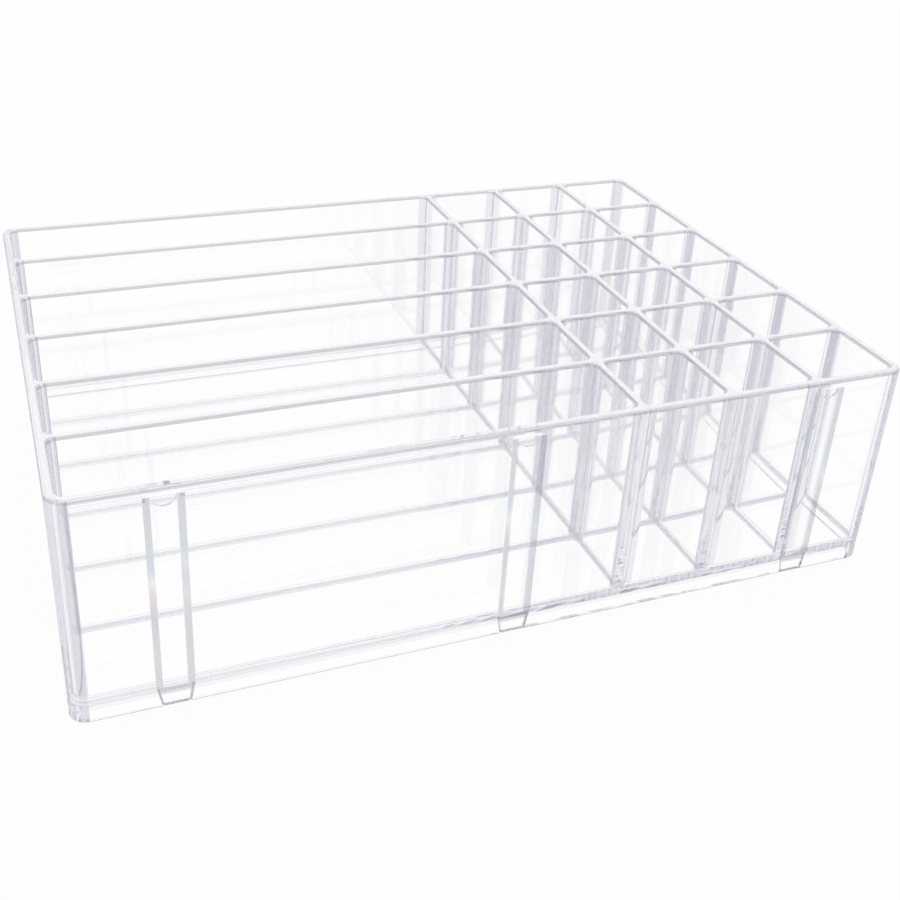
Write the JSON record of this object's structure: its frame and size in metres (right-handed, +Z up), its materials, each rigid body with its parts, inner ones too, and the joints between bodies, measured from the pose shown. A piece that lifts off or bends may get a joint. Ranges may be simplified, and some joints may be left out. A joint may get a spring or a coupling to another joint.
{
  "type": "vanity organizer tray",
  "caption": "Clear open-topped vanity tray with long palette slots beside a grid of square bottle compartments, three upright strips inlaid in the front and small tapered feet",
  "frame": {"origin": "middle of the face the tray stands on", "axes": "+Z up, +X to the right along the width, the front with the three inlaid strips faces -Y"},
  "size_m": [0.3, 0.216, 0.083],
  "materials": {
    "clear_plastic": "clear colourless polystyrene, polished"
  },
  "bodies": {
    "root": {"base_skirt": "clear_plastic", "floor_panel": "clear_plastic", "front_wall": "clear_plastic", "back_wall": "clear_plastic", "left_wall": "clear_plastic", "right_wall": "clear_plastic", "top_rim": "clear_plastic", "row_divider_1": "clear_plastic", "row_divider_2": "clear_plastic", "row_divider_3": "clear_plastic", "row_divider_4": "clear_plastic", "row_divider_5": "clear_plastic", "column_divider_1": "clear_plastic", "column_divider_2": "clear_plastic", "column_divider_3": "clear_plastic", "front_strip_left": "clear_plastic", "front_strip_centre": "clear_plastic", "front_strip_right": "clear_plastic", "front_foot_left": "clear_plastic", "front_foot_centre": "clear_plastic", "front_foot_right": "clear_plastic"}
  },
  "joints": []
}
